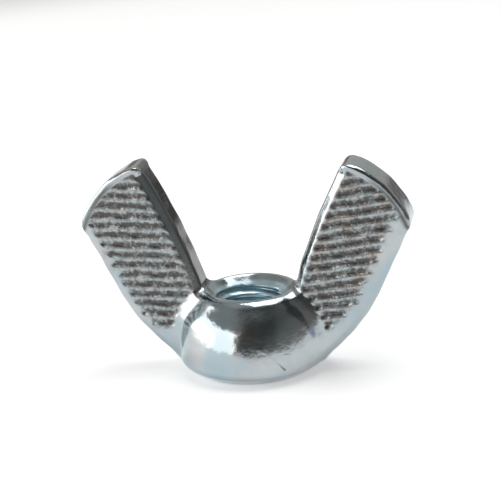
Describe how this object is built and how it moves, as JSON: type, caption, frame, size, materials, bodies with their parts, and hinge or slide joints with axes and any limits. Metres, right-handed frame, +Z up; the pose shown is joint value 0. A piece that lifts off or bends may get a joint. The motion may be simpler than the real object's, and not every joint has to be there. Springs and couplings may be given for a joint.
{
  "type": "wing nut",
  "caption": "Cold-forged zinc-plated wing nut: a domed, through-threaded boss between upright ribbed wings, tightened by hand.",
  "frame": {"origin": "middle of the flat base face, on the thread axis", "axes": "+Z up along the thread axis, X across the two wings, Y through their thickness"},
  "size_m": [0.0276, 0.0124, 0.0179],
  "materials": {
    "zinc_plated_steel": "bright zinc plate, smooth on the boss and mottled in the grip ribs"
  },
  "bodies": {
    "root": {"wing_nut": "zinc_plated_steel"}
  },
  "joints": []
}
